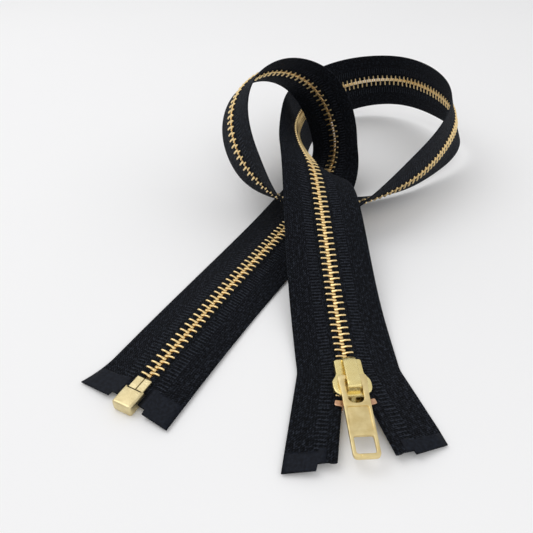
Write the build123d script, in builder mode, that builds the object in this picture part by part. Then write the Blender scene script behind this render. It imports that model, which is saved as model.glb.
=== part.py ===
from build123d import *
import math
import os

# Closed metal separating zipper, laid on a flat surface in one and a half turns.
# Millimetres. The origin is the middle of the slider's underside. +Y runs along the
# closed chain away from the tape's top end, +X is to the right of the slider, +Z is up.

# ---- driving dimensions -----------------------------------------------------------
SIDES = {"left": 1, "right": -1}

HALF_WIDTH = 15.5         # one tape's outer edge from the chain's centre line
PITCH = 2.6               # one tooth to the next on the same side
TOOTH_HEAD = 0.65         # how far a tooth's head passes the centre line
TOOTH_END = 2.9           # the tooth's far end, half the width of the closed chain
TOOTH_THICK = 1.05        # along the chain
TOOTH_HALF_HIGH = 1.35    # above and below the tape's middle plane
JAW_FROM = 1.3            # the gap between a tooth's two legs starts here
JAW_HALF = 0.8
BEAD_IN = 1.45            # corded edge of the tape, from the centre line
BEAD_OUT = 2.95
BEAD_HALF = 0.65
TAPE_HALF_THICK = 0.3
BEND_AT = 3.5             # the tape may fold here, just beside the chain
FILM_THICK = 0.15
FILM_GAP = 0.04           # clear of the tape on its bends

# distances along the chain, 0 at the slider's middle
TAPE_TOP = -29.0
TOP_FILM_LONG = 4.5
TOP_STOP_AT = -8.6
FIRST_TOOTH = -5.6
SPLIT_AT = 32.0           # the two tapes can open up to here
LAST_TOOTH = 706.0
STRETCHES = 8             # the laid tape is made in this many lengths end to end
PIN_START = 707.4
BOX_START = 712.0
BOX_LONG = 7.0
TAPE_BOTTOM = 717.0
BOTTOM_FILM_LONG = 8.0
SECTION_STEP = 3 * PITCH

OPEN_SLOPE = {1: 0.222, -1: 0.245}   # how fast each side turns away past the slider
OPEN_FROM = 4.5
OPEN_ROUND = 3.0

CHAIN_Z = 2.8             # the chain's middle plane at the slider
SLIDER_HIGH = 2 * CHAIN_Z
SLIDER_END = 7.0          # narrow end, at +Y
PLATE = 1.1
SLOT_LOW = -0.95          # the side slots for the tape, from the chain's middle plane
SLOT_HIGH = 0.55
BRIDGE_WIDE = 4.0
BRIDGE_TOP = 8.9
BRIDGE_THICK = 0.9
CLAW_Y = 3.0

PIVOT_Y = -1.5
PIVOT_Z = 6.8
PULL_DROP = 5.0           # degrees that the pull's far end hangs down
PULL_THICK = 1.2
PULL_END = -25.3          # from the pivot, along the pull
PULL_HOLE_AT = -21.4

# The lie of the chain: x, y, z, then the tilt of the left and the right tape in degrees
# (0 is flat, 90 stands on its right edge).
ROUTE = [
    (0, -32, 2.8, -9, 9),
    (0, 0, 2.8, -9, 9),
    (0, 27, 2.8, -9, 9),
    (0, 80, 20, 22, -15),
    (-1, 98, 25, 28, 34),
    (-3, 112, 22, 44, 44),
    (-5, 136, 20, 68, 66),
    (-1, 161, 16, 64, 68),
    (9, 188, 15, 70, 60),
    (31, 205, 19, 96, 90),
    (60, 200, 24, 116, 102),
    (74, 175, 25, 112, 106),
    (78, 147, 24, 114, 122),
    (65, 122, 20, 94, 82),
    (45, 100, 13, 94, 48),
    (15, 88, 9, 40, 10),
    (-7, 85, 8, -12, 22),
    (-32, 93, 25, 86, 66),
    (-37, 115, 45, 132, 122),
    (-19, 138, 53, 148, 152),
    (7, 148, 42, 140, 148),
    (19, 136, 11, 54, 40),
    (5, 116, 0, -16, -2),
    (-9, 89, 3, 4, 6),
    (-25, 64, 3, -12, 10),
    (-40, 41, 3, -12, 12),
    (-54, 18, 2, -4, 6),
    (-68, -6, 2, -5, 5),
    (-82, -30, 2, -5, 5),
]


# ---- the centre line ----------------------------------------------------------------
def route_value(t):
    """Cubic B-spline through the route's control rows, at t rows from the first."""
    first = [2 * a - b for a, b in zip(ROUTE[0], ROUTE[1])]
    last = [2 * a - b for a, b in zip(ROUTE[-1], ROUTE[-2])]
    rows = [first, *ROUTE, last]
    i = min(int(t), len(ROUTE) - 2)
    u = t - i
    weights = (
        (1 - u) ** 3 / 6,
        (3 * u**3 - 6 * u**2 + 4) / 6,
        (-3 * u**3 + 3 * u**2 + 3 * u + 1) / 6,
        u**3 / 6,
    )
    return [sum(w * rows[i + k][c] for k, w in enumerate(weights)) for c in range(5)]


def measure_route(steps_per_row=60):
    """Pairs of (distance along the chain, t), with distance 0 where y is 0."""
    table = []
    distance = ROUTE[0][1]
    before = route_value(0)
    for n in range((len(ROUTE) - 1) * steps_per_row + 1):
        here = route_value(n / steps_per_row)
        distance += math.dist(before[:3], here[:3])
        table.append((distance, n / steps_per_row))
        before = here
    return table


MEASURED = measure_route()


def route_at(s):
    """The route's five values at the distance s along the chain."""
    low = 0
    high = len(MEASURED) - 1
    while high - low > 1:
        middle = (low + high) // 2
        if MEASURED[middle][0] <= s:
            low = middle
        else:
            high = middle
    (s0, t0), (s1, t1) = MEASURED[low], MEASURED[high]
    return route_value(t0 + (t1 - t0) * (s - s0) / (s1 - s0))


def spread(side, s):
    """How far one side has turned away from the centre line, past the closed chain."""
    past = OPEN_FROM - s
    if past < -OPEN_ROUND:
        return 0.0
    if past > OPEN_ROUND:
        return OPEN_SLOPE[side] * past
    return OPEN_SLOPE[side] * (past + OPEN_ROUND) ** 2 / (4 * OPEN_ROUND)


def side_point(side, s):
    """A point of one side's own centre line; side is 1 for left and -1 for right."""
    x, y, z, _, _ = route_at(s)
    return Vector(x - side * spread(side, s), y, z)


def side_plane(side, s):
    """The plane across one side: x_dir is level and to the left, z_dir runs along it."""
    along = (side_point(side, s + 0.05) - side_point(side, s - 0.05)).normalized()
    level = Vector(0, 0, 1).cross(along).normalized()
    return Plane(origin=side_point(side, s), x_dir=level, z_dir=along)


def tilts(side, s):
    """Tilt of the chain and of one side's tape, in radians."""
    _, _, _, left, right = route_at(s)
    return math.radians((left + right) / 2), math.radians(left if side > 0 else right)


def across(side, s, reach, height):
    """A point of the cross-section: reach from the centre line, height off the tape."""
    chain, wing = tilts(side, s)
    near = min(reach, BEND_AT)
    far = reach - near
    tilt = wing if far > 0 else chain
    x = side * (near * math.cos(chain) + far * math.cos(wing)) - height * math.sin(tilt)
    y = side * (near * math.sin(chain) + far * math.sin(wing)) + height * math.cos(tilt)
    return x, y


def stations(start, end):
    """Evenly spaced distances from start to end."""
    count = max(2, round((end - start) / SECTION_STEP) + 1)
    return [start + (end - start) * n / (count - 1) for n in range(count)]


def save(piece, node):
    piece.part.label = node
    export_step(piece.part, f"parts/{node}.step")


# ---- tapes, corded edges and end films ------------------------------------------------
def make_strip(node, side, ends, reaches, heights):
    """A long strip: one closed outline across it at each station, joined in order."""
    with BuildPart() as strip:
        for s in stations(*ends):
            low = [across(side, s, reach, heights[0]) for reach in reaches]
            high = [across(side, s, reach, heights[1]) for reach in reversed(reaches)]
            with BuildSketch(side_plane(side, s)):
                Polygon(*low, *high, align=None)
        loft(ruled=True)
    save(strip, node)


def stretches(start, end):
    """The number and the two ends of each length, from start to end."""
    step = (end - start) / STRETCHES
    return [(n + 1, (start + n * step, start + (n + 1) * step)) for n in range(STRETCHES)]


def make_tapes(name, side):
    reaches = [BEAD_OUT, BEND_AT, HALF_WIDTH]
    heights = (-TAPE_HALF_THICK, TAPE_HALF_THICK)
    make_strip(f"{name}_tape_top", side, (TAPE_TOP, SPLIT_AT), reaches, heights)
    for number, ends in stretches(SPLIT_AT, TAPE_BOTTOM):
        make_strip(f"{name}_tape_{number}", side, ends, reaches, heights)


def make_beads(name, side):
    reaches = [BEAD_IN, BEAD_OUT]
    heights = (-BEAD_HALF, BEAD_HALF)
    bottom = BOX_START + BOX_LONG / 2
    make_strip(f"{name}_bead", side, (SPLIT_AT, bottom), reaches, heights)
    make_strip(f"{name}_bead_top", side, (TAPE_TOP + 1.5, SPLIT_AT), reaches, heights)


def make_films(name, side):
    reaches = [BEND_AT + 0.5, HALF_WIDTH]
    low = TAPE_HALF_THICK + FILM_GAP
    heights = (low, low + FILM_THICK)
    top = (TAPE_TOP, TAPE_TOP + TOP_FILM_LONG)
    bottom = (TAPE_BOTTOM - BOTTOM_FILM_LONG, TAPE_BOTTOM)
    make_strip(f"{name}_top_film", side, top, reaches, heights)
    make_strip(f"{name}_bottom_film", side, bottom, reaches, heights)


# ---- teeth ---------------------------------------------------------------------------
def tooth_plane(side, s):
    """The plane of one tooth, on the straight facet of the bead that it grips."""
    ends = (TAPE_TOP + 1.5, SPLIT_AT) if s < SPLIT_AT else (SPLIT_AT, BOX_START + BOX_LONG / 2)
    marks = stations(*ends)
    n = min(int((s - marks[0]) / (marks[1] - marks[0])), len(marks) - 2)
    share = (s - marks[n]) / (marks[n + 1] - marks[n])
    origins = []
    outwards = []
    for mark in marks[n:n + 2]:
        plane = side_plane(side, mark)
        chain, _ = tilts(side, mark)
        origins.append(plane.origin)
        outwards.append(plane.x_dir * math.cos(chain) + plane.y_dir * math.sin(chain))
    along = (origins[1] - origins[0]).normalized()
    outward = outwards[0] * (1 - share) + outwards[1] * share
    outward = (outward - along * outward.dot(along)).normalized()
    origin = origins[0] * (1 - share) + origins[1] * share
    return Plane(origin=origin, x_dir=outward, z_dir=along)


def grip_outline(side, head, end, half_high):
    """A piece of metal closed around the bead: a head, and two legs out to its end."""
    right = [
        (head, -half_high + 0.2),
        (JAW_FROM, -half_high),
        (end, -half_high),
        (end, -JAW_HALF),
        (JAW_FROM, -JAW_HALF),
    ]
    points = right + [(x, -y) for x, y in reversed(right)]
    return [(side * x, y) for x, y in points]


def tooth_places(side):
    """The distances of one side's teeth; the right side is half a pitch further on."""
    shift = 0.0 if side > 0 else PITCH / 2
    count = int((LAST_TOOTH - FIRST_TOOTH) / PITCH) + 1
    return [FIRST_TOOTH + shift + n * PITCH for n in range(count)]


def make_teeth(node, side, places):
    with BuildPart() as tooth:
        with BuildSketch():
            Polygon(*grip_outline(side, -TOOTH_HEAD, TOOTH_END, TOOTH_HALF_HIGH), align=None)
        extrude(amount=TOOTH_THICK / 2, both=True)
    with BuildPart() as teeth:
        with Locations(*[tooth_plane(side, s) for s in places]):
            add(tooth.part)
    save(teeth, node)


def make_tooth_rows(name, side):
    """Single teeth where the rows can part, and one plain core where they stay closed."""
    make_teeth(f"{name}_teeth_top", side, [s for s in tooth_places(side) if s < SPLIT_AT - 0.7])
    heights = (-TOOTH_HALF_HIGH, TOOTH_HALF_HIGH)
    for number, ends in stretches(SPLIT_AT + 0.1, LAST_TOOTH + TOOTH_THICK / 2):
        make_strip(f"{name}_teeth_{number}", side, ends, [0.04, BEAD_IN - 0.05], heights)


def make_top_stop(name, side):
    """A bent metal clip around the bead, just past the last tooth."""
    with BuildPart() as stop:
        with BuildSketch(tooth_plane(side, TOP_STOP_AT)):
            Polygon(*grip_outline(side, 0.6, TOOTH_END, TOOTH_HALF_HIGH), align=None)
        extrude(amount=1.0, both=True)
    save(stop, f"{name}_top_stop")


# ---- bottom end: pins and box -----------------------------------------------------------
def end_plane(s):
    """The plane across the bottom end, its normal pointing off the end."""
    return side_plane(1, s)


def make_pin(node, side):
    """A flat bar closed around the bead, from the last tooth into the box."""
    with BuildPart() as pin:
        with BuildSketch(end_plane(PIN_START)):
            Polygon(*grip_outline(side, 0.1, 2.7, TOOTH_HALF_HIGH), align=None)
        extrude(amount=BOX_START + BOX_LONG / 2 - PIN_START)
    save(pin, node)


def make_box():
    """The socket for both pins: closed at its far end, slotted at its sides for the tapes."""
    with BuildPart() as box:
        with BuildSketch(end_plane(BOX_START)):
            RectangleRounded(6.8, 4.0, 0.9)
        extrude(amount=BOX_LONG)
        with BuildSketch(end_plane(BOX_START)):
            Rectangle(6.0, 2.9)
        extrude(amount=BOX_LONG / 2 + 0.3, mode=Mode.SUBTRACT)
        with BuildSketch(end_plane(BOX_START)):
            with Locations((-3.2, 0), (3.2, 0)):
                Rectangle(0.6, 1.1)
        extrude(amount=BOX_LONG, mode=Mode.SUBTRACT)
    save(box, "retainer_box")


# ---- slider -----------------------------------------------------------------------------
def both_halves(points):
    """A closed outline from the points of its right half, top to bottom."""
    return points + [(-x, y) for x, y in reversed(points)]


def make_slider_body():
    """Two plates with side flanges, joined by the post that parts the two rows."""
    outline = [(4.2, SLIDER_END), (4.2, 2.8), (5.8, -0.8), (5.8, -4.2), (4.4, -6.8)]
    channel = [(3.35, SLIDER_END + 1), (3.35, 3.6), (5.3, -1.3), (5.3, -3.2), (6.2, -4.4)]
    channel += [(6.2, -SLIDER_END - 1)]
    with BuildPart() as body:
        with BuildSketch() as plan:
            Polygon(*both_halves(outline), align=None)
            fillet(plan.vertices(), radius=0.9)
        extrude(amount=SLIDER_HIGH)
        fillet(body.faces().filter_by(Axis.Z).edges(), radius=0.35)
        with BuildSketch(Plane.XY.offset(PLATE)):
            Polygon(*both_halves(channel), align=None)
        extrude(amount=SLIDER_HIGH - 2 * PLATE, mode=Mode.SUBTRACT)
        with BuildSketch(Plane.XY.offset(CHAIN_Z + SLOT_LOW)):
            Rectangle(4 * SLIDER_END, 4 * SLIDER_END)
        extrude(amount=SLOT_HIGH - SLOT_LOW, mode=Mode.SUBTRACT)
        with BuildSketch(Plane.XY.offset(PLATE / 2)):
            Polygon((0, -1.3), (1.4, -5.8), (0, -6.6), (-1.4, -5.8), align=None)
        extrude(amount=SLIDER_HIGH - PLATE)
        with BuildSketch(Plane.XY.offset(SLIDER_HIGH - PLATE)):
            with Locations((0, CLAW_Y)):
                Rectangle(1.6, 1.8)
        extrude(amount=PLATE, mode=Mode.SUBTRACT)
    save(body, "slider_body")


def make_bridge():
    """The strap over the top plate that holds the pull."""
    under = BRIDGE_TOP - BRIDGE_THICK
    outside = [(6.7, SLIDER_HIGH), (6.4, 6.8), (4.8, BRIDGE_TOP - 0.3), (3.2, BRIDGE_TOP)]
    outside += [(-4.8, BRIDGE_TOP), (-5.8, BRIDGE_TOP - 0.6), (-6.0, SLIDER_HIGH)]
    inside = [(-5.0, SLIDER_HIGH), (-4.9, under - 0.3), (-4.4, under)]
    inside += [(3.0, under), (4.3, under - 0.4), (5.4, 6.6), (5.6, SLIDER_HIGH)]
    with BuildPart() as bridge:
        with BuildSketch(Plane.YZ):
            Polygon(*outside, *inside, align=None)
        extrude(amount=BRIDGE_WIDE / 2, both=True)
    save(bridge, "slider_bridge")


def make_pawl():
    """The locking claw through the top plate, on its flat head under the bridge."""
    with BuildPart() as pawl:
        with BuildSketch(Plane.XY.offset(SLIDER_HIGH + 0.1)):
            with Locations((0, CLAW_Y - 0.4)):
                Rectangle(1.4, 3.4)
        extrude(amount=0.5)
        with BuildSketch(Plane.XY.offset(SLIDER_HIGH - PLATE - 0.1)):
            with Locations((0, CLAW_Y)):
                Rectangle(1.2, 1.2)
        extrude(amount=PLATE + 0.4)
    save(pawl, "lock_pawl")


def make_pull():
    """The tab: an eye around the bridge, a recessed panel and a rectangular hole."""
    drop = math.radians(PULL_DROP)
    normal = Vector(0, -math.sin(drop), math.cos(drop))
    pivot = Vector(0, PIVOT_Y, PIVOT_Z)
    under = Plane(origin=pivot - normal * PULL_THICK / 2, x_dir=(1, 0, 0), z_dir=normal)
    outline = [(4.3, 0.75), (4.3, -1.8), (3.95, -3.8), (3.75, PULL_END)]
    with BuildPart() as pull:
        with BuildSketch(under) as plan:
            Polygon(*both_halves(outline), align=None)
            fillet(plan.vertices().group_by(Axis.Y)[0], radius=1.3)
            with Locations((0, -4.725)):
                RectangleRounded(4.7, 7.95, 2.2, mode=Mode.SUBTRACT)
            with Locations((0, -2.4)):
                Rectangle(4.7, 3.3, mode=Mode.SUBTRACT)
            with Locations((0, PULL_HOLE_AT)):
                RectangleRounded(5.5, 5.2, 0.6, mode=Mode.SUBTRACT)
        extrude(amount=PULL_THICK)
        with BuildSketch(under.offset(PULL_THICK - 0.3)):
            with Locations((0, -13.5)):
                RectangleRounded(6.2, 8.0, 0.7)
        extrude(amount=0.4, mode=Mode.SUBTRACT)
    save(pull, "pull_tab")


# ---- every piece --------------------------------------------------------------------------
os.makedirs("parts", exist_ok=True)
for name, side in SIDES.items():
    make_tapes(name, side)
    make_beads(name, side)
    make_films(name, side)
    make_tooth_rows(name, side)
    make_top_stop(name, side)
make_pin("insertion_pin", SIDES["left"])
make_pin("retainer_pin", SIDES["right"])
make_box()
make_slider_body()
make_bridge()
make_pawl()
make_pull()
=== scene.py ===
import math

import bmesh
import bpy
import numpy as np
from mathutils import Matrix, Vector


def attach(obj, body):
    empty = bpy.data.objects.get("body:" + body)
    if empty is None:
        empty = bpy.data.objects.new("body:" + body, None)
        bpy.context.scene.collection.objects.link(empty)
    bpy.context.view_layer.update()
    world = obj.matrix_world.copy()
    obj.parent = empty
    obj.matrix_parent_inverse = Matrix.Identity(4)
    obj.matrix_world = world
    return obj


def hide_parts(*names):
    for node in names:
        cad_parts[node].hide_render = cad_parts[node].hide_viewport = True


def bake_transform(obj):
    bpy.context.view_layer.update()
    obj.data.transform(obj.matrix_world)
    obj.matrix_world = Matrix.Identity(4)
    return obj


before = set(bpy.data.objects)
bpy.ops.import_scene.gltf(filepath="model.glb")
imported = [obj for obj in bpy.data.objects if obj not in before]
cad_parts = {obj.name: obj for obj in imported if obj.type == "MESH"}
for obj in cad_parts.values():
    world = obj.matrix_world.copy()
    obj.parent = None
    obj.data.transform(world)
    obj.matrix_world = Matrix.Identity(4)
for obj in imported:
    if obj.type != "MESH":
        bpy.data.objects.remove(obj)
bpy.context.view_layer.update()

# Lengths are in millimetres until a mesh or an object is made, where MM turns them into metres.
MM = 0.001
SIDES = {"left": 1, "right": -1}

# ---- driving dimensions --------------------------------------------------------------
HALF_WIDTH = 15.5
PITCH = 2.6
BEND_AT = 3.5
CORD_EDGE = 0.85           # the corded edge of the tape, from the centre line
NOTCH_AT = 6.2            # the step in the tape's cut ends, from the centre line
TAPE_TOP = -27.0
TAPE_BOTTOM = 717.0
FRONT_END = 46.0          # the tape is cut in two here: the front pieces are left unattached, the rest is attached to the chain
FIRST_TOOTH = -5.6
LAST_TOOTH = 706.0
TOP_STOP_AT = -8.6
OPEN_SLOPE = {1: 0.222, -1: 0.245}
OPEN_FROM = 4.5
OPEN_ROUND = 3.0
CHAIN_Z = 2.8
SLIDER_HIGH = 2 * CHAIN_Z
PLATE = 1.1
PIVOT = (0.0, -1.5, 6.8)
PULL_DROP = math.radians(5.0)
PULL_THICK = 1.2
STIPPLE_HALF_WIDE = 2.2   # the marked area in the pull's recessed panel
STIPPLE_HALF_LONG = 3.4
STIPPLE_MIDDLE = -15.1
PIN_START = 707.4
STRETCHES = 8             # the CAD model's tape is in this many lengths
BOX_START = 712.0
BOX_LONG = 7.0

# The lie of the chain: x, y, z, then the tilt of the left and the right tape in degrees.
# Apart from the first three rows and the tilts of the last two, these are mostly the numbers
# of a least-squares fit, rounded. They were not chosen by hand.
ROUTE = [
    (0, -32, 2.8, -9, 9),
    (0, 0, 2.8, -9, 9),
    (0, 27, 2.8, -9, 9),
    (0, 80, 20, 22, -15),
    (-1, 98, 25, 28, 34),
    (-3, 112, 22, 44, 44),
    (-5, 136, 20, 68, 66),
    (-1, 161, 16, 64, 68),
    (9, 188, 15, 70, 60),
    (31, 205, 19, 96, 90),
    (60, 200, 24, 116, 102),
    (74, 175, 25, 112, 106),
    (78, 147, 24, 114, 122),
    (65, 122, 20, 94, 82),
    (45, 100, 13, 94, 48),
    (15, 88, 9, 40, 10),
    (-7, 85, 8, -12, 22),
    (-32, 93, 25, 86, 66),
    (-37, 115, 45, 132, 122),
    (-19, 138, 53, 148, 152),
    (7, 148, 42, 140, 148),
    (19, 136, 11, 54, 40),
    (5, 116, 0, -16, -2),
    (-9, 89, 3, 4, 6),
    (-25, 64, 3, -12, 10),
    (-40, 41, 3, -12, 12),
    (-54, 18, 2, -4, 6),
    (-68, -6, 2, -5, 5),
    (-82, -30, 2, -5, 5),
]


# ---- the centre line ------------------------------------------------------------------
def spline(t):
    """Cubic B-spline through the route's rows at the parameters t."""
    rows = np.array(ROUTE, float)
    rows = np.vstack([2 * rows[0] - rows[1], rows, 2 * rows[-1] - rows[-2]])
    i = np.clip(t.astype(int), 0, len(ROUTE) - 2)
    u = (t - i)[:, None]
    return (
        (1 - u) ** 3 * rows[i]
        + (3 * u**3 - 6 * u**2 + 4) * rows[i + 1]
        + (-3 * u**3 + 3 * u**2 + 3 * u + 1) * rows[i + 2]
        + u**3 * rows[i + 3]
    ) / 6


T_FINE = np.linspace(0, len(ROUTE) - 1, 8000)
LINE = spline(T_FINE)
S_FINE = np.concatenate([[0], np.cumsum(np.linalg.norm(np.diff(LINE[:, :3], axis=0), axis=1))])
S_FINE += ROUTE[0][1]


def spread(side, s):
    """How far one side has turned away from the centre line, past the closed chain."""
    past = OPEN_FROM - s
    round_part = (past + OPEN_ROUND) ** 2 / (4 * OPEN_ROUND)
    return OPEN_SLOPE[side] * np.where(past < -OPEN_ROUND, 0, np.where(past > OPEN_ROUND, past, round_part))


def centre(side, s):
    values = spline(np.interp(s, S_FINE, T_FINE))
    points = values[:, :3].copy()
    points[:, 0] -= side * spread(side, s)
    return points, values[:, 3:]


def unit(v):
    return v / np.linalg.norm(v, axis=-1, keepdims=True)


def frame_at(side, s):
    """Centre, along, chain-outward and wing-outward directions of one side at distances s."""
    s = np.asarray(s, float)
    points, rolls = centre(side, s)
    along = unit(centre(side, s + 0.05)[0] - centre(side, s - 0.05)[0])
    level = unit(np.cross([0, 0, 1], along))
    up = np.cross(along, level)
    chain = np.radians(rolls.mean(axis=1))[:, None]
    wing = np.radians(rolls[:, 0 if side > 0 else 1])[:, None]
    inner = np.cos(chain) * level + np.sin(chain) * up
    outer = np.cos(wing) * level + np.sin(wing) * up
    return points, along, inner, outer


def place(side, s, reach, height):
    """Points of one side: reach from the centre line and height off the tape, all arrays."""
    points, along, inner, outer = frame_at(side, s)
    share = np.clip((reach - BEND_AT + 0.8) / 1.6, 0, 1)[:, None]
    normal = unit(np.cross(along, inner * (1 - share) + outer * share))
    near = np.minimum(reach, BEND_AT)[:, None]
    far = np.maximum(reach - BEND_AT, 0)[:, None]
    return points + side * (near * inner + far * outer) + height[:, None] * normal


# ---- meshes ------------------------------------------------------------------------------
def new_object(name, verts, faces, material, uv=None, smooth=True):
    mesh = bpy.data.meshes.new(name)
    mesh.from_pydata([tuple(v) for v in np.asarray(verts) * MM], [], faces)
    if uv is not None:
        layer = mesh.uv_layers.new(name="UVMap")
        loops = np.empty(len(mesh.loops), int)
        mesh.loops.foreach_get("vertex_index", loops)
        layer.data.foreach_set("uv", np.asarray(uv, np.float32)[loops].ravel())
    mesh.validate()
    obj = bpy.data.objects.new(name, mesh)
    bpy.context.scene.collection.objects.link(obj)
    bm = bmesh.new()
    bm.from_mesh(mesh)
    bmesh.ops.recalc_face_normals(bm, faces=bm.faces)
    bm.to_mesh(mesh)
    bm.free()
    mesh.materials.append(material)
    if smooth:
        mesh.shade_smooth()
    return obj


def cut_line(side, reach, top):
    """Where the tape is cut at this reach: both ends have a step beside the chain."""
    if not top:
        slant = 0.09 if side > 0 else -0.07
        return TAPE_BOTTOM + slant * reach - np.where(reach < NOTCH_AT, 1.6, 0.0)
    if side > 0:
        return -26.4 - 0.17 * reach - np.where(reach > NOTCH_AT, 2.0, 0.0)
    return -25.1 - np.where(reach > NOTCH_AT, 1.1 - 0.1 * (reach - NOTCH_AT), 0.0)


def to_cut(side, s, reach, end, length):
    """Distances eased over the last length, so that the end lies on the cut line."""
    share = np.clip(1 - np.abs(s - end) / length, 0, 1)
    return s + share * (cut_line(side, reach, end < 0) - end)


def tape_section():
    """The closed outline of a tape: reach and height, with the corded edge."""
    face = [(CORD_EDGE, 0.0), (1.05, 0.42), (1.7, 0.64), (2.6, 0.58), (3.0, 0.34), (3.6, 0.26)]
    face += [(r, 0.25) for r in (4.4, 5.4, 6.1, 6.3, 7.4, 8.7, 8.9, 10.4, 12.0, 13.6, 15.0)]
    face += [(15.4, 0.2), (15.5, 0.0)]
    under = [(r, -h) for r, h in reversed(face[1:-1])]
    return np.array(face + under)


def flare(side, s, reach):
    """How far the right tape's outer edge is pushed out: beside the slider and at both ends."""
    if side > 0:
        return np.zeros_like(s)
    bulge = 1.7 * np.exp(-(((s - 7) / 25.0) ** 2)) + 1.4 * np.clip(-s / 20, 0, 1)
    bulge += 3.4 * np.clip((s - TAPE_BOTTOM + 14) / 14, 0, 1) ** 2
    return bulge * np.clip((reach - BEND_AT) / (HALF_WIDTH - BEND_AT), 0, 1)


def make_tape(name, side, start, end, material):
    section = tape_section()
    count = int((end - start) / 1.0) + 1
    along = np.linspace(start, end, count)
    s, reach = np.repeat(along, len(section)), np.tile(section[:, 0], count)
    height = np.tile(section[:, 1], count)
    if start == TAPE_TOP:
        s = to_cut(side, s, reach, start, 12.0)
    if end == TAPE_BOTTOM:
        s = to_cut(side, s, reach, end, 12.0)
    verts = place(side, s, reach + flare(side, s, reach), height)
    n = len(section)
    faces = []
    for i in range(count - 1):
        for j in range(n):
            k = (j + 1) % n
            faces.append((i * n + j, i * n + k, (i + 1) * n + k, (i + 1) * n + j))
    half = len(section) // 2
    for row in (0, (count - 1) * n):
        for j in range(half):
            a, b = row + j, row + j + 1
            c, d = row + (n - j - 1) % n, row + (n - j) % n
            faces.append((a, b, c, d) if len({a, b, c, d}) == 4 else tuple(dict.fromkeys((a, b, c, d))))
    uv = np.stack([s, side * reach], axis=1)
    tape = new_object(name, verts, faces, material, uv)
    smooth_by_angle(tape, 60)
    return tape


def make_film(name, side, start, end, material, top):
    reaches = np.array([4.0, 5.0, 6.1, 6.3, 7.5, 8.7, 8.9, 10.5, 12.0, 13.5, 15.2])
    count = int((end - start) / 0.5) + 1
    along = np.linspace(start, end, count)
    verts, uv, faces = [], [], []
    for layer, lift in enumerate((0.2, 0.31)):
        s, reach = np.repeat(along, len(reaches)), np.tile(reaches, count)
        s = to_cut(side, s, reach, start if top else end, 12.0)
        verts.append(place(side, s, reach + flare(side, s, reach), np.full(len(s), lift)))
        uv.append(np.stack([s, side * reach], axis=1))
    n = len(reaches)
    low = count * n
    for i in range(count - 1):
        for j in range(n - 1):
            a, b, c, d = i * n + j, i * n + j + 1, (i + 1) * n + j + 1, (i + 1) * n + j
            faces += [(a, b, c, d), (a + low, b + low, c + low, d + low)]
    rim = [j for j in range(n)] + [i * n + n - 1 for i in range(1, count)]
    rim += [(count - 1) * n + j for j in range(n - 2, -1, -1)] + [i * n for i in range(count - 2, 0, -1)]
    for a, b in zip(rim, rim[1:] + rim[:1]):
        faces.append((a, b, b + low, a + low))
    return new_object(name, np.vstack(verts), faces, material, np.vstack(uv))


def tooth_shape():
    """One closed tooth as rings along its length: reach, half height, half thickness."""
    rings = [
        (-0.78, 0.30, 0.25), (-0.70, 0.50, 0.42), (-0.45, 0.66, 0.56), (0.1, 0.72, 0.56),
        (0.55, 0.85, 0.46), (0.95, 1.02, 0.38), (1.6, 1.10, 0.38), (2.3, 1.12, 0.38),
        (2.75, 1.06, 0.36), (2.98, 0.85, 0.27), (3.04, 0.5, 0.16),
    ]
    corner = []
    for n in range(16):
        angle = 2 * math.pi * (n + 0.5) / 16
        c, w = math.cos(angle), math.sin(angle)
        corner.append((math.copysign(abs(c) ** 0.55, c), math.copysign(abs(w) ** 0.55, w)))
    verts = [(reach, high * v, thick * u) for reach, high, thick in rings for u, v in corner]
    faces = []
    for i in range(len(rings) - 1):
        for j in range(16):
            k = (j + 1) % 16
            faces.append((i * 16 + j, i * 16 + k, i * 16 + 16 + k, i * 16 + 16 + j))
    last = (len(rings) - 1) * 16
    faces += [tuple(range(16)), tuple(range(last, last + 16))]
    return np.array(verts), faces


def make_teeth(name, side, places, material):
    shape, shape_faces = tooth_shape()
    points, along, inner, _ = frame_at(side, places)
    along = unit(along - inner * np.sum(along * inner, axis=1, keepdims=True))
    normal = np.cross(along, inner)
    verts, faces, uv = [], [], []
    rng = np.random.default_rng(7 if side > 0 else 8)
    for n in range(len(places)):
        lean = rng.normal(0, 0.02)
        out = inner[n] + lean * along[n]
        local = shape[:, :1] * side * out + shape[:, 1:2] * normal[n] + shape[:, 2:] * along[n]
        verts.append(points[n] + local)
        # The UV's first number is the reach along the tooth; the tooth material uses it to darken the
        # heads, partly as painted shade.
        uv.append(np.stack([shape[:, 0] / 4 + 0.25, np.full(len(shape), 0.5)], axis=1))
        faces += [tuple(v + n * len(shape) for v in face) for face in shape_faces]
    return new_object(name, np.vstack(verts), faces, material, np.vstack(uv))


def plate(name, outlines, thick, edge, material, matrix):
    """A flat piece from closed outlines in its own plane, the later ones cut out of the first."""
    curve = bpy.data.curves.new(name, "CURVE")
    curve.dimensions = "2D"
    curve.fill_mode = "BOTH"
    curve.extrude = (thick / 2 - edge) * MM
    curve.bevel_depth = edge * MM
    curve.bevel_resolution = 3
    curve.offset = -edge * MM
    for points in outlines:
        strand = curve.splines.new("POLY")
        strand.points.add(len(points) - 1)
        strand.points.foreach_set("co", np.array([(x * MM, y * MM, 0, 1) for x, y in points]).ravel())
        strand.use_cyclic_u = True
    source = bpy.data.objects.new(name, curve)
    bpy.context.scene.collection.objects.link(source)
    bpy.context.view_layer.update()
    mesh = bpy.data.meshes.new_from_object(source.evaluated_get(bpy.context.evaluated_depsgraph_get()))
    bpy.data.objects.remove(source)
    bpy.data.curves.remove(curve)
    mesh.transform(matrix)
    mesh.name = name
    mesh.materials.clear()
    mesh.materials.append(material)
    obj = bpy.data.objects.new(name, mesh)
    bpy.context.scene.collection.objects.link(obj)
    smooth_by_angle(obj)
    return obj


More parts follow.
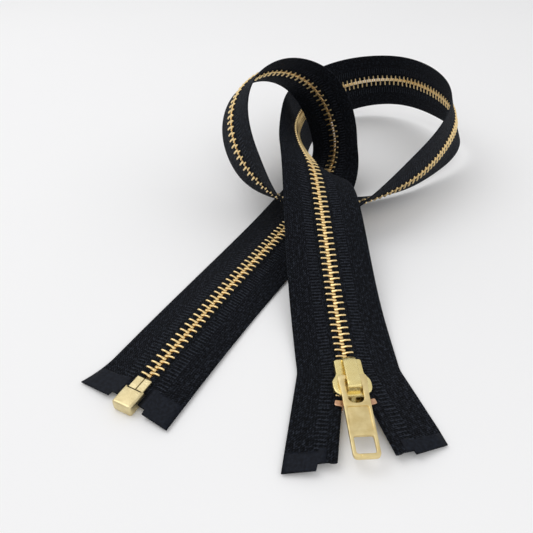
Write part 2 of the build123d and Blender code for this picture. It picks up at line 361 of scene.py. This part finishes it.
def smooth_by_angle(obj, degrees=35):
    bm = bmesh.new()
    bm.from_mesh(obj.data)
    bmesh.ops.remove_doubles(bm, verts=bm.verts, dist=1e-6)
    for edge in bm.edges:
        edge.smooth = len(edge.link_faces) == 2 and edge.calc_face_angle(0) < math.radians(degrees)
    for face in bm.faces:
        face.smooth = True
    bm.to_mesh(obj.data)
    bm.free()


def joined(name, objects):
    bm = bmesh.new()
    for obj in objects:
        bm.from_mesh(obj.data)
    mesh = bpy.data.meshes.new(name)
    bm.to_mesh(mesh)
    bm.free()
    mesh.materials.append(objects[0].data.materials[0])
    for obj in objects:
        bpy.data.objects.remove(obj)
    result = bpy.data.objects.new(name, mesh)
    bpy.context.scene.collection.objects.link(result)
    return result


def rounded(points, radius, steps=6):
    """The outline with its corners rounded; radius is one number or one for each point."""
    radii = [radius] * len(points) if isinstance(radius, (int, float)) else radius
    result = []
    for n, (point, r) in enumerate(zip(points, radii)):
        p = np.array(point, float)
        a, b = np.array(points[n - 1], float) - p, np.array(points[(n + 1) % len(points)], float) - p
        r = min(r, 0.49 * np.linalg.norm(a), 0.49 * np.linalg.norm(b))
        if r < 0.01:
            result.append(tuple(p))
            continue
        start, end = p + unit(a) * r, p + unit(b) * r
        for k in range(steps + 1):
            t = k / steps
            result.append(tuple((1 - t) ** 2 * start + 2 * t * (1 - t) * p + t**2 * end))
    return result


def both_halves(points):
    return points + [(-x, y) for x, y in reversed(points)]


def lift(z):
    return Matrix.Translation((0, 0, z * MM))


# ---- materials ------------------------------------------------------------------------------
class Nodes:
    """A short way to wire a node material."""

    def __init__(self, name):
        self.material = bpy.data.materials.new(name)
        self.material.use_nodes = True
        self.tree = self.material.node_tree
        self.shader = self.tree.nodes["Principled BSDF"]

    def add(self, kind, inputs=(), **settings):
        node = self.tree.nodes.new(kind)
        for key, value in settings.items():
            setattr(node, key, value)
        for key, value in dict(inputs).items():
            if isinstance(value, bpy.types.NodeSocket):
                self.tree.links.new(value, node.inputs[key])
            else:
                node.inputs[key].default_value = value
        return node

    def math(self, operation, a, b=0.0, clamp=False):
        return self.add("ShaderNodeMath", {0: a, 1: b}, operation=operation, use_clamp=clamp).outputs[0]

    def multiply_add(self, a, factor, offset):
        inputs = {0: a, 1: factor, 2: offset}
        return self.add("ShaderNodeMath", inputs, operation="MULTIPLY_ADD").outputs[0]

    def set(self, **values):
        for key, value in values.items():
            self.shader.inputs[key.replace("_", " ")].default_value = value

    def link(self, socket, key):
        self.tree.links.new(socket, self.shader.inputs[key])

    def noise(self, scale, detail=3.0, vector=None):
        inputs = {"Scale": scale, "Detail": detail}
        if vector is not None:
            inputs["Vector"] = vector
        return self.add("ShaderNodeTexNoise", inputs).outputs["Fac"]

    def ramp(self, value, stops):
        node = self.add("ShaderNodeValToRGB", {"Fac": value})
        ramp = node.color_ramp
        for n, (at, color) in enumerate(stops):
            stop = ramp.elements[n] if n < 2 else ramp.elements.new(at)
            stop.position = at
            stop.color = (*color, 1)
        return node.outputs["Color"]

    def bump(self, height, strength, distance, normal=None):
        inputs = {"Height": height, "Strength": strength, "Distance": distance}
        if normal is not None:
            inputs["Normal"] = normal
        return self.add("ShaderNodeBump", inputs).outputs["Normal"]


def object_position(nodes):
    return nodes.add("ShaderNodeTexCoord").outputs["Object"]


def stipple(nodes, where):
    """Raised marks inside the pull's recessed panel, 0 everywhere else."""
    split = nodes.add("ShaderNodeSeparateXYZ", {"Vector": where})
    across = nodes.math("LESS_THAN", nodes.math("ABSOLUTE", split.outputs["X"]), STIPPLE_HALF_WIDE * MM)
    from_middle = nodes.math("ABSOLUTE", nodes.math("SUBTRACT", split.outputs["Y"], STIPPLE_MIDDLE * MM))
    along = nodes.math("LESS_THAN", from_middle, STIPPLE_HALF_LONG * MM)
    marks = nodes.math("GREATER_THAN", nodes.noise(900.0, 1.0, where), 0.53)
    return nodes.math("MULTIPLY", nodes.math("MULTIPLY", across, along), marks)


def brass(name, light, dark, roughness, grain=0.25, panel=False):
    nodes = Nodes(name)
    where = object_position(nodes)
    patches = nodes.noise(350.0, 4.0, where)
    nodes.link(nodes.ramp(patches, [(0.3, dark), (0.65, light)]), "Base Color")
    fine = nodes.noise(2600.0, 2.0, where)
    nodes.link(nodes.multiply_add(fine, 0.16, roughness - 0.08), "Roughness")
    normal = nodes.bump(fine, grain, 0.00006)
    if panel:
        normal = nodes.bump(stipple(nodes, where), 1.0, 0.00016, normal)
    nodes.link(normal, "Normal")
    nodes.set(Metallic=1.0)
    return nodes.material


def tooth_material():
    """Brass that is bright on the legs and darker at the heads, where the two rows lock together: this
    darkening is partly the brass's duller tone and partly painted shade.
    """
    nodes = Nodes("tooth_brass")
    uv = nodes.add("ShaderNodeUVMap", uv_map="UVMap").outputs["UV"]
    reach = nodes.add("ShaderNodeSeparateXYZ", {"Vector": uv})
    patches = nodes.multiply_add(nodes.noise(500.0, 3.0, object_position(nodes)), 0.16, 0.5)
    mix = nodes.math("ADD", reach.outputs["X"], patches)
    # Dark stops at the heads are partly duller brass and partly painted shade in the crease between the
    # rows; the light stop is the legs' own brass.
    stops = [(0.20, (0.34, 0.19, 0.09)), (0.52, (0.60, 0.37, 0.17)), (0.76, (0.95, 0.72, 0.36))]
    nodes.link(nodes.ramp(mix, stops), "Base Color")
    nodes.set(Metallic=1.0, Roughness=0.28)
    return nodes.material


def tape_material():
    """Black twill: fine diagonal weave, and a ladder of raised stitches beside the chain."""
    nodes = Nodes("black_twill")
    uv = nodes.add("ShaderNodeUVMap", uv_map="UVMap").outputs["UV"]
    split = nodes.add("ShaderNodeSeparateXYZ", {"Vector": uv})
    s, reach = split.outputs["X"], nodes.math("ABSOLUTE", split.outputs["Y"])
    warp = nodes.math("SINE", nodes.math("MULTIPLY", nodes.math("ADD", s, reach), 2 * math.pi / 0.9))
    weft = nodes.math("SINE", nodes.math("MULTIPLY", reach, 2 * math.pi / 0.8))
    weave = nodes.math("ADD", nodes.math("MULTIPLY", warp, 0.5), nodes.math("MULTIPLY", weft, 0.35))
    inside = nodes.math("GREATER_THAN", reach, 4.3)
    outside = nodes.math("LESS_THAN", reach, 7.6)
    band = nodes.math("MULTIPLY", inside, outside)
    rungs = nodes.math("SINE", nodes.math("MULTIPLY", s, 2 * math.pi / 1.3))
    rungs = nodes.math("MULTIPLY", nodes.math("MAXIMUM", rungs, -0.2), band)
    lint = nodes.noise(0.9, 4.0, uv)
    speckle = nodes.noise(2.0, 2.0, uv)
    height = nodes.math("ADD", nodes.math("MULTIPLY", weave, 0.35), nodes.math("MULTIPLY", rungs, 1.3))
    height = nodes.math("ADD", height, nodes.math("MULTIPLY", speckle, 1.2))
    tone = nodes.math("ADD", nodes.math("MULTIPLY", lint, 0.55), nodes.math("MULTIPLY", speckle, 0.45))
    tone = nodes.math("ADD", tone, nodes.math("MULTIPLY", weave, 0.09))
    tone = nodes.math("ADD", tone, nodes.math("MULTIPLY", rungs, 0.16))
    stops = [(0.38, (0.0004, 0.0006, 0.0010)), (0.52, (0.0035, 0.0044, 0.0068))]
    stops.append((0.72, (0.034, 0.040, 0.054)))
    nodes.link(nodes.ramp(tone, stops), "Base Color")
    nodes.link(nodes.bump(height, 1.0, 0.00035), "Normal")
    nodes.set(Roughness=0.85, Sheen_Weight=0.03, Sheen_Roughness=0.5, Sheen_Tint=(0.55, 0.62, 0.8, 1))
    nodes.set(Specular_IOR_Level=0.10)
    return nodes.material


def film_material():
    """The heat-sealed end: the same black cloth under a thin, faintly blue film."""
    nodes = Nodes("sealed_film")
    uv = nodes.add("ShaderNodeUVMap", uv_map="UVMap").outputs["UV"]
    mottled = nodes.noise(1.1, 5.0, uv)
    stops = [(0.35, (0.0025, 0.0035, 0.0070)), (0.7, (0.009, 0.012, 0.020))]
    nodes.link(nodes.ramp(mottled, stops), "Base Color")
    nodes.link(nodes.bump(mottled, 0.5, 0.00015), "Normal")
    nodes.set(Roughness=0.5, Specular_IOR_Level=0.12)
    return nodes.material


TAPE = tape_material()
FILM = film_material()
TEETH = tooth_material()
SLIDER = brass("slider_brass", (0.93, 0.79, 0.38), (0.84, 0.68, 0.29), 0.28, 0.5)
PULL = brass("pull_brass", (0.84, 0.69, 0.36), (0.72, 0.56, 0.26), 0.36, 1.0, panel=True)
STOP = brass("stop_copper", (0.80, 0.50, 0.32), (0.50, 0.28, 0.17), 0.38)
BOX = brass("box_brass", (0.79, 0.68, 0.40), (0.64, 0.53, 0.29), 0.38, 0.9)


def tooth_places(side):
    shift = 0.0 if side > 0 else PITCH / 2
    count = int((LAST_TOOTH - FIRST_TOOTH) / PITCH) + 1
    return np.array([FIRST_TOOTH + shift + n * PITCH for n in range(count)])


def make_top_stop(name, side):
    points, along, inner, _ = frame_at(side, np.array([TOP_STOP_AT]))
    normal = np.cross(along, inner)[0]
    outline = rounded([(0.5, -1.0), (3.1, -1.0), (3.1, 1.0), (0.5, 1.0)], 0.6)
    halves = []
    for n, (height, thick) in enumerate(((0.98, 0.75), (-0.98, 0.75))):
        turn = Matrix((inner[0] * side, along[0], normal * 1.0)).transposed().to_4x4()
        turn.translation = Vector((points[0] + normal * height) * MM)
        halves.append(plate(f"{name}_{n}", [outline], thick, 0.25, STOP, turn))
    spine = rounded([(0.45, -0.9), (1.5, -0.9), (1.5, 0.9), (0.45, 0.9)], 0.3)
    turn = Matrix((inner[0] * side, along[0], normal)).transposed().to_4x4()
    turn.translation = Vector(points[0] * MM)
    halves.append(plate(f"{name}_spine", [spine], 1.9, 0.2, STOP, turn))
    return joined(name, halves)


for name, side in SIDES.items():
    flap = f"{name}_flap"
    front = make_tape(f"{name}_front_cloth", side, TAPE_TOP, FRONT_END, TAPE)
    rest = make_tape(f"{name}_cloth", side, FRONT_END, TAPE_BOTTOM, TAPE)
    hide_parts(f"{name}_tape_top", f"{name}_bead_top")
    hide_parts(f"{name}_bead", *[f"{name}_tape_{n}" for n in range(1, STRETCHES + 1)])
    places = tooth_places(side)
    front_teeth = make_teeth(f"{name}_front_row", side, places[places < FRONT_END], TEETH)
    teeth = make_teeth(f"{name}_row", side, places[places >= FRONT_END], TEETH)
    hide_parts(f"{name}_teeth_top")
    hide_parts(*[f"{name}_teeth_{n}" for n in range(1, STRETCHES + 1)])
    top_film = make_film(f"{name}_sealed_top", side, TAPE_TOP, TAPE_TOP + 4.5, FILM, True)
    bottom_film = make_film(f"{name}_sealed_bottom", side, TAPE_BOTTOM - 8, TAPE_BOTTOM, FILM, False)
    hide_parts(f"{name}_top_film")
    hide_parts(f"{name}_bottom_film")
    stop = make_top_stop(f"{name}_stop_clip", side)
    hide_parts(f"{name}_top_stop")
    for piece in (front, front_teeth):
        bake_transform(piece)
    for piece in (rest, teeth, bottom_film):
        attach(piece, "chain")
    for piece in (top_film, stop):
        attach(piece, flap)


# ---- slider -------------------------------------------------------------------------------
def make_slider():
    """Two plates with side flanges, joined by the post that parts the two rows."""
    right = [(4.2, 7.0), (4.2, 1.5), (4.6, 0.6), (5.75, -1.2), (5.8, -3.8), (5.3, -5.4), (3.4, -6.9)]
    outline = rounded(both_halves(right), 1.0)
    post = rounded([(0, -1.3), (1.4, -5.6), (0.6, -6.6), (-0.6, -6.6), (-1.4, -5.6)], 0.3)
    flange = [(3.4, 6.9), (4.15, 6.9), (4.15, 1.5), (5.7, -1.0)]
    flange += [(5.7, -4.4), (5.15, -4.4), (5.15, -1.1), (3.4, 1.35)]
    parts = [plate("top_plate", [outline], PLATE, 0.3, SLIDER, lift(SLIDER_HIGH - PLATE / 2))]
    parts.append(plate("bottom_plate", [outline], PLATE, 0.3, SLIDER, lift(PLATE / 2)))
    parts.append(plate("post", [post], SLIDER_HIGH - PLATE, 0.05, SLIDER, lift(CHAIN_Z)))
    for sign in (1, -1):
        points = rounded([(sign * x, y) for x, y in flange], 0.2)
        for z, thick in ((PLATE / 2 + 0.65, 1.3), (SLIDER_HIGH - PLATE / 2 - 0.85, 1.7)):
            parts.append(plate(f"flange_{sign}_{thick}", [points], thick, 0.12, SLIDER, lift(z)))
    return joined("slider_shell", parts)


def make_bridge():
    """The strap: its side profile, thickened across the slider."""
    outside = [(6.9, 5.4), (6.75, 6.9), (5.6, 8.2), (3.6, 8.9)]
    outside += [(-4.6, 8.95), (-5.9, 8.5), (-6.05, 7.0), (-6.0, 5.4)]
    inside = [(-5.0, 5.4), (-5.0, 7.5), (-4.3, 8.0), (3.2, 8.0), (4.6, 7.4), (5.5, 6.6), (5.7, 5.4)]
    profile = rounded(outside, [0, 0.8, 1.4, 1.6, 0.7, 0.7, 0.5, 0])
    profile += rounded(inside, [0, 0.5, 0.5, 1, 0.8, 0.5, 0])
    to_side = Matrix(((0, 0, 1, 0), (1, 0, 0, 0), (0, 1, 0, 0), (0, 0, 0, 1)))
    return plate("bridge_strap", [profile], 4.0, 0.28, SLIDER, to_side)


def make_pull():
    """The tab: an eye around the bridge, a recessed panel, a rectangular hole and a small lip."""
    outline = [(4.25, 0.9), (4.3, -1.9), (3.95, -3.9), (3.95, -9), (3.75, -25.3)]
    outline = rounded(both_halves(outline), [0.7, 1.5, 1.5, 1, 1.5, 1.5, 1, 1.5, 1.5, 0.7])
    slot = rounded(both_halves([(2.3, -0.75), (2.35, -8.7)]), [0.2, 2.2, 2.2, 0.2])
    hole = rounded(both_halves([(2.75, -18.8), (2.75, -24.0)]), 0.8)
    panel = rounded(both_halves([(3.05, -9.7), (3.05, -17.5)]), 0.8)
    turn = Matrix.Translation(Vector(PIVOT) * MM) @ Matrix.Rotation(PULL_DROP, 4, "X")
    rim = 0.35
    base = plate("pull_base", [outline, slot, hole], PULL_THICK - rim, 0.2, PULL, turn @ lift(-rim / 2))
    top = turn @ lift(PULL_THICK / 2 - rim)
    frame_top = plate("pull_rim", [outline, slot, hole, panel], 2 * rim, 0.2, PULL, top)
    lip_outline = rounded([(-1.6, -25.1), (1.6, -25.1), (1.6, -24.3), (-1.6, -24.3)], 0.2)
    lip = plate("pull_lip", [lip_outline], 0.5, 0.15, PULL, turn @ lift(PULL_THICK / 2 + 0.02))
    return joined("pull", [base, frame_top, lip])


def make_pawl():
    """The locking claw under the bridge, on its flat head."""
    head = rounded([(-0.7, 4.3), (0.7, 4.3), (0.7, 0.9), (-0.7, 0.9)], 0.25)
    claw = rounded([(-0.6, 3.6), (0.6, 3.6), (0.6, 2.4), (-0.6, 2.4)], 0.15)
    parts = [plate("pawl_head", [head], 0.5, 0.1, SLIDER, lift(SLIDER_HIGH + 0.35))]
    parts.append(plate("pawl_claw", [claw], 1.5, 0.1, SLIDER, lift(SLIDER_HIGH - 0.45)))
    return joined("pawl_spring", parts)


def end_matrix(s, height=0.0):
    """The bottom end's frame: X to the left of the chain, Y along it off the end, Z up."""
    points, along, inner, _ = frame_at(1, np.array([s]))
    flat = unit(np.array([along[0][0], along[0][1], 0.0]))
    left = np.array([-flat[1], flat[0], 0.0])
    matrix = Matrix((left, flat, (0, 0, 1))).transposed().to_4x4()
    matrix.translation = Vector((points[0] + [0, 0, height]) * MM)
    return matrix


def make_box():
    """The retainer box: a rounded block, hollow where the pins go in, with a dimple at its end."""
    block = rounded([(-3.4, 0), (3.4, 0), (3.4, BOX_LONG), (-3.4, BOX_LONG)], [0.4, 0.4, 1.0, 1.0])
    body = plate("box_block", [block], 3.95, 0.75, BOX, end_matrix(BOX_START))
    inner = bpy.data.meshes.new("cavity")
    bm = bmesh.new()
    bmesh.ops.create_cube(bm, size=MM)
    bmesh.ops.scale(bm, verts=bm.verts, vec=(6.0, 7.0, 2.9))
    bmesh.ops.translate(bm, verts=bm.verts, vec=(0, 0.3 * MM, 0))
    dimple = Matrix.Translation((0.0, BOX_LONG * MM, 0.3 * MM)) @ Matrix.Rotation(math.pi / 2, 4, "X")
    sizes = {"radius1": 0.42 * MM, "radius2": 0.3 * MM, "depth": 0.8 * MM}
    bmesh.ops.create_cone(bm, cap_ends=True, segments=20, matrix=dimple, **sizes)
    bm.to_mesh(inner)
    bm.free()
    inner.transform(end_matrix(BOX_START))
    cutter = bpy.data.objects.new("cavity", inner)
    bpy.context.scene.collection.objects.link(cutter)
    cut = body.modifiers.new("cavity", "BOOLEAN")
    cut.operation, cut.solver, cut.object = "DIFFERENCE", "EXACT", cutter
    bpy.context.view_layer.update()
    mesh = bpy.data.meshes.new_from_object(body.evaluated_get(bpy.context.evaluated_depsgraph_get()))
    mesh.materials.clear()
    mesh.materials.append(BOX)
    for obj in (body, cutter):
        bpy.data.objects.remove(obj)
    box = bpy.data.objects.new("box_shell", mesh)
    bpy.context.scene.collection.objects.link(box)
    smooth_by_angle(box)
    return box


def make_pin(name, side):
    low, high = sorted((side * 0.12, side * 2.65))
    length = BOX_START + 3.5 - PIN_START
    outline = rounded([(low, 0), (high, 0), (high, length), (low, length)], 0.35)
    parts = []
    for height in (0.95, -0.95):
        parts.append(plate(f"{name}_{height}", [outline], 0.8, 0.2, BOX, end_matrix(PIN_START, height)))
    low, high = sorted((side * 0.12, side * 1.3))
    spine = rounded([(low, 0.05), (high, 0.05), (high, length), (low, length)], 0.2)
    parts.append(plate(f"{name}_spine", [spine], 1.9, 0.1, BOX, end_matrix(PIN_START)))
    return joined(name, parts)


for piece, node, body, slot in (
    (make_slider(), "slider_body", "slider", "slider"),
    (make_bridge(), "slider_bridge", "slider", "slider"),
    (make_pawl(), "lock_pawl", "slider", "slider"),
    (make_pull(), "pull_tab", "pull", "slider"),
    (make_box(), "retainer_box", "chain", "box"),
    (make_pin("pin_with_tape_left", 1), "insertion_pin", "chain", "box"),
    (make_pin("pin_with_tape_right", -1), "retainer_pin", "chain", "box"),
):
    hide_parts(node)
    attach(piece, body)


# ---- floor, light and camera --------------------------------------------------------------
WORLD_LIGHT = 0.72
SENSOR = 36.0
# The focal length, the camera's height and its angle below level come from a fit as well.
FOCAL_WIDTHS = 547.4 / 533     # the focal length as a share of the frame's width
CAMERA_AT = (-30.6, -106.0, 133.4)
CAMERA_DOWN = 38.57            # degrees below level
CAMERA_TURN = 2.9              # degrees to the right of +Y


def make_floor():
    nodes = Nodes("floor_white")
    nodes.set(Roughness=0.9, Specular_IOR_Level=0.1)
    faint = nodes.noise(6.0, 2.0, object_position(nodes))
    stops = [(0.0, (0.93, 0.93, 0.94)), (1.0, (0.96, 0.96, 0.965))]
    nodes.link(nodes.ramp(faint, stops), "Base Color")
    half = 3000.0
    corners = [(-half, -half, 0), (half, -half, 0), (half, half, 0), (-half, half, 0)]
    verts = np.array(corners) - [0, 0, 0.02]
    floor = new_object("floor", verts, [(0, 1, 2, 3)], nodes.material, smooth=False)


def make_light(name, place_mm, target_mm, size, power):
    lamp = bpy.data.lights.new(name, "AREA")
    lamp.shape = "DISK"
    lamp.size = size
    lamp.energy = power
    obj = bpy.data.objects.new(name, lamp)
    obj.location = Vector(place_mm) * MM
    aim = Vector(target_mm) * MM - obj.location
    obj.rotation_euler = aim.to_track_quat("-Z", "Y").to_euler()
    bpy.context.scene.collection.objects.link(obj)


def make_world():
    world = bpy.data.worlds.new("studio")
    world.use_nodes = True
    back = world.node_tree.nodes["Background"]
    back.inputs["Color"].default_value = (1.0, 1.0, 1.0, 1)
    back.inputs["Strength"].default_value = WORLD_LIGHT
    bpy.context.scene.world = world


def make_camera():
    data = bpy.data.cameras.new("camera")
    data.sensor_width = SENSOR
    data.lens = FOCAL_WIDTHS * SENSOR
    data.clip_start = 0.01
    data.clip_end = 20.0
    camera = bpy.data.objects.new("camera", data)
    camera.location = Vector(CAMERA_AT) * MM
    pitch, turn = math.radians(CAMERA_DOWN), math.radians(CAMERA_TURN)
    forward = Vector((math.cos(pitch) * math.sin(turn), math.cos(pitch) * math.cos(turn), -math.sin(pitch)))
    camera.rotation_euler = forward.to_track_quat("-Z", "Y").to_euler()
    bpy.context.scene.collection.objects.link(camera)
    bpy.context.scene.camera = camera


make_floor()
make_world()
make_light("key", (-350, 250, 700), (0, 80, 0), 0.6, 1.4)
make_light("fill", (500, -300, 600), (0, 60, 0), 0.7, 0.5)
make_light("front", (-50, -700, 450), (0, 60, 20), 0.5, 0.4)
make_camera()
bpy.context.scene.view_settings.view_transform = "Standard"
